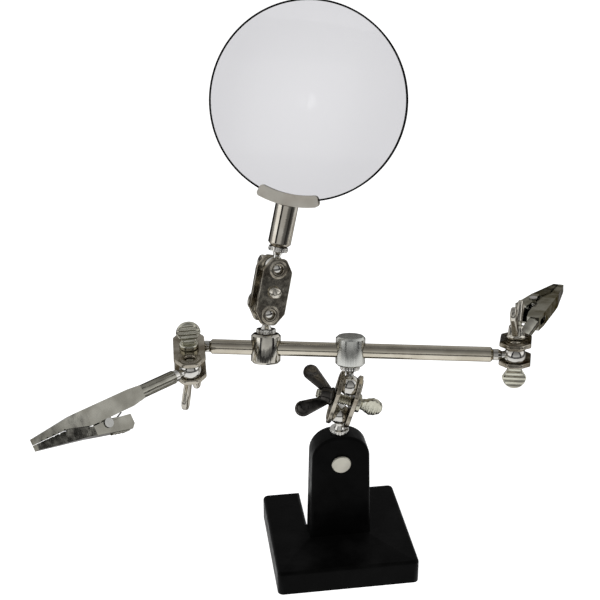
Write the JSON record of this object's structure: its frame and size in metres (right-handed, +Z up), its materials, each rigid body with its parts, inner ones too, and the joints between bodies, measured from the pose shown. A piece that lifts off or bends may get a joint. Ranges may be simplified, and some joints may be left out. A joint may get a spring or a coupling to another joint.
{
  "type": "helping hands clamp",
  "caption": "Bench holding tool: a notched cast base, a cross rod on a ball joint, spring clips at both rod ends and a round magnifier above it.",
  "frame": {"origin": "centre of the slab's width and depth, on the base's flat underside", "axes": "+Z up, +X to the user's right, -Y towards the user and the upright's pin head"},
  "size_m": [0.1966, 0.0968, 0.1938],
  "materials": {
    "base_enamel": "gloss",
    "pin_steel": "satin",
    "stud_nickel": "polished",
    "plate_chrome": "polished",
    "screw_nickel": "satin",
    "wing_nickel": "satin",
    "wing_black_nickel": "satin",
    "collar_satin": "satin",
    "collar_chrome": "polished",
    "rod_nickel": "polished",
    "sleeve_chrome": "polished",
    "holder_nickel": "satin",
    "rim_black": "gloss",
    "lens_glass": "clear",
    "clip_nickel": "satin",
    "pivot_steel": "polished",
    "spring_steel": "polished"
  },
  "bodies": {
    "base": {"base_casting": "base_enamel", "base_cross_pin": "pin_steel"},
    "base_stud": {"base_ball_stud": "stud_nickel"},
    "base_clamp": {"base_clamp_upper_plate": "plate_chrome", "base_clamp_lower_plate": "plate_chrome", "base_clamp_thumb_screw": "screw_nickel"},
    "base_wing": {"base_clamp_wing_nut": "wing_black_nickel"},
    "main_stud": {"main_ball_stud": "stud_nickel"},
    "main_hub": {"main_collar": "collar_satin"},
    "rod": {"cross_rod": "rod_nickel"},
    "lens_hub": {"lens_collar": "collar_chrome"},
    "lens_stud": {"lens_collar_ball_stud": "stud_nickel"},
    "lens_clamp": {"lens_clamp_front_plate": "plate_chrome", "lens_clamp_rear_plate": "plate_chrome"},
    "lens_wing": {"lens_clamp_wing_screw": "wing_nickel"},
    "lens_stem": {"lens_stem_ball_stud": "stud_nickel"},
    "lens_head": {"lens_sleeve": "sleeve_chrome", "lens_holder_clip": "holder_nickel", "lens_rim": "rim_black", "magnifier_lens": "lens_glass"},
    "left_stud": {"left_rod_ball_stud": "stud_nickel"},
    "left_clamp": {"left_clamp_upper_plate": "plate_chrome", "left_clamp_lower_plate": "plate_chrome", "left_clamp_thumb_screw": "screw_nickel"},
    "left_wing": {"left_clamp_wing_nut": "wing_nickel"},
    "left_clip_stud": {"left_clip_ball_stud": "stud_nickel"},
    "left_clip": {"left_clip_fixed_jaw": "clip_nickel", "left_clip_pivot_pin": "pivot_steel", "left_clip_spring": "spring_steel"},
    "left_jaw": {"left_clip_moving_jaw": "clip_nickel"},
    "right_stud": {"right_rod_ball_stud": "stud_nickel"},
    "right_clamp": {"right_clamp_upper_plate": "plate_chrome", "right_clamp_lower_plate": "plate_chrome", "right_clamp_thumb_screw": "screw_nickel"},
    "right_wing": {"right_clamp_wing_nut": "wing_nickel"},
    "right_clip_stud": {"right_clip_ball_stud": "stud_nickel"},
    "right_clip": {"right_clip_fixed_jaw": "clip_nickel", "right_clip_pivot_pin": "pivot_steel", "right_clip_spring": "spring_steel"},
    "right_jaw": {"right_clip_moving_jaw": "clip_nickel"}
  },
  "joints": [
    {"name": "base_stud_twist", "type": "hinge", "parent": "base", "child": "base_stud", "pos_m": [0, -0.0005, 0.0572], "axis": [0, 0, 1], "continuous": true},
    {"name": "base_clamp_swing", "type": "hinge", "parent": "base_stud", "child": "base_clamp", "pos_m": [0, -0.0005, 0.0572], "axis": [0.9473, -0.21, -0.2419], "range_deg": [-75, 40]},
    {"name": "base_wing_nut_turn", "type": "hinge", "parent": "base_clamp", "child": "base_wing", "pos_m": [0.00122, -0.00322, 0.06435], "axis": [-0.9473, 0.21, 0.2419], "continuous": true},
    {"name": "main_stud_swing", "type": "hinge", "parent": "base_clamp", "child": "main_stud", "pos_m": [0.00245, -0.00595, 0.0715], "axis": [-0.9473, 0.21, 0.2419], "range_deg": [-52, 38]},
    {"name": "main_collar_twist", "type": "hinge", "parent": "main_stud", "child": "main_hub", "pos_m": [0.00245, -0.00595, 0.0715], "axis": [0.0468, 0.22, 0.9744], "continuous": true},
    {"name": "rod_slide", "type": "slide", "parent": "main_hub", "child": "rod", "axis": [0.9781, -0.2079, 0], "range_m": [-0.036, 0.017]},
    {"name": "lens_collar_slide", "type": "slide", "parent": "rod", "child": "lens_hub", "axis": [-0.9781, 0.2079, 0], "range_m": [-0.017, 0.01]},
    {"name": "lens_stud_twist", "type": "hinge", "parent": "lens_hub", "child": "lens_stud", "pos_m": [-0.02412, 0.00615, 0.09506], "axis": [-0.0608, -0.286, -0.9563], "continuous": true},
    {"name": "lens_clamp_swing", "type": "hinge", "parent": "lens_stud", "child": "lens_clamp", "pos_m": [-0.02412, 0.00615, 0.09506], "axis": [-0.2361, 0.9534, -0.188], "range_deg": [-60, 45]},
    {"name": "lens_wing_screw_turn", "type": "hinge", "parent": "lens_clamp", "child": "lens_wing", "pos_m": [-0.0224, 0.00802, 0.10238], "axis": [-0.2361, 0.9534, -0.188], "continuous": true},
    {"name": "lens_stem_swing", "type": "hinge", "parent": "lens_clamp", "child": "lens_stem", "pos_m": [-0.02068, 0.00989, 0.1097], "axis": [0.2361, -0.9534, 0.188], "range_deg": [-55, 58]},
    {"name": "lens_head_twist", "type": "hinge", "parent": "lens_stem", "child": "lens_head", "pos_m": [-0.02068, 0.00989, 0.1097], "axis": [0.2382, 0.2357, 0.9422], "continuous": true},
    {"name": "left_stud_twist", "type": "hinge", "parent": "rod", "child": "left_stud", "pos_m": [-0.05049, 0.00811, 0.08339], "axis": [0.9781, -0.2079, 0], "continuous": true},
    {"name": "left_clamp_swing", "type": "hinge", "parent": "left_stud", "child": "left_clamp", "pos_m": [-0.05049, 0.00811, 0.08339], "axis": [0.0073, 0.0341, -0.9994], "range_deg": [-5, 130]},
    {"name": "left_wing_nut_turn", "type": "hinge", "parent": "left_clamp", "child": "left_wing", "pos_m": [-0.05069, 0.00037, 0.08313], "axis": [-0.0073, -0.0341, 0.9994], "continuous": true},
    {"name": "left_clip_swing", "type": "hinge", "parent": "left_clamp", "child": "left_clip_stud", "pos_m": [-0.05089, -0.00738, 0.08286], "axis": [0.0073, 0.0341, -0.9994], "range_deg": [-105, 40]},
    {"name": "left_clip_twist", "type": "hinge", "parent": "left_clip_stud", "child": "left_clip", "pos_m": [-0.05089, -0.00738, 0.08286], "axis": [0.8038, 0.5946, 0.0154], "continuous": true},
    {"name": "left_jaw_open", "type": "hinge", "parent": "left_clip", "child": "left_jaw", "pos_m": [-0.07907, -0.0314, 0.07871], "axis": [0.4772, -0.6601, 0.5801], "range_deg": [0, 20], "stiffness_Nm_per_rad": 0.2, "springref_deg": -22.92, "deforming": ["left_clip_spring"]},
    {"name": "right_stud_twist", "type": "hinge", "parent": "rod", "child": "right_stud", "pos_m": [0.05652, -0.01464, 0.08339], "axis": [0.9781, -0.2079, 0], "continuous": true},
    {"name": "right_clamp_swing", "type": "hinge", "parent": "right_stud", "child": "right_clamp", "pos_m": [0.05652, -0.01464, 0.08339], "axis": [0.0538, 0.2532, 0.9659], "range_deg": [-130, 20]},
    {"name": "right_wing_nut_turn", "type": "hinge", "parent": "right_clamp", "child": "right_wing", "pos_m": [0.05905, -0.00759, 0.0814], "axis": [-0.0538, -0.2532, -0.9659], "continuous": true},
    {"name": "right_clip_swing", "type": "hinge", "parent": "right_clamp", "child": "right_clip_stud", "pos_m": [0.06159, -0.00054, 0.07941], "axis": [-0.0538, -0.2532, -0.9659], "range_deg": [-75, 70]},
    {"name": "right_clip_twist", "type": "hinge", "parent": "right_clip_stud", "child": "right_clip", "pos_m": [0.06159, -0.00054, 0.07941], "axis": [-0.5568, -0.8281, 0.0654], "continuous": true},
    {"name": "right_jaw_open", "type": "hinge", "parent": "right_clip", "child": "right_jaw", "pos_m": [0.07854, 0.03253, 0.07661], "axis": [-0.0356, 0.1025, 0.9941], "range_deg": [0, 20], "stiffness_Nm_per_rad": 0.2, "springref_deg": -22.92, "deforming": ["right_clip_spring"]}
  ]
}
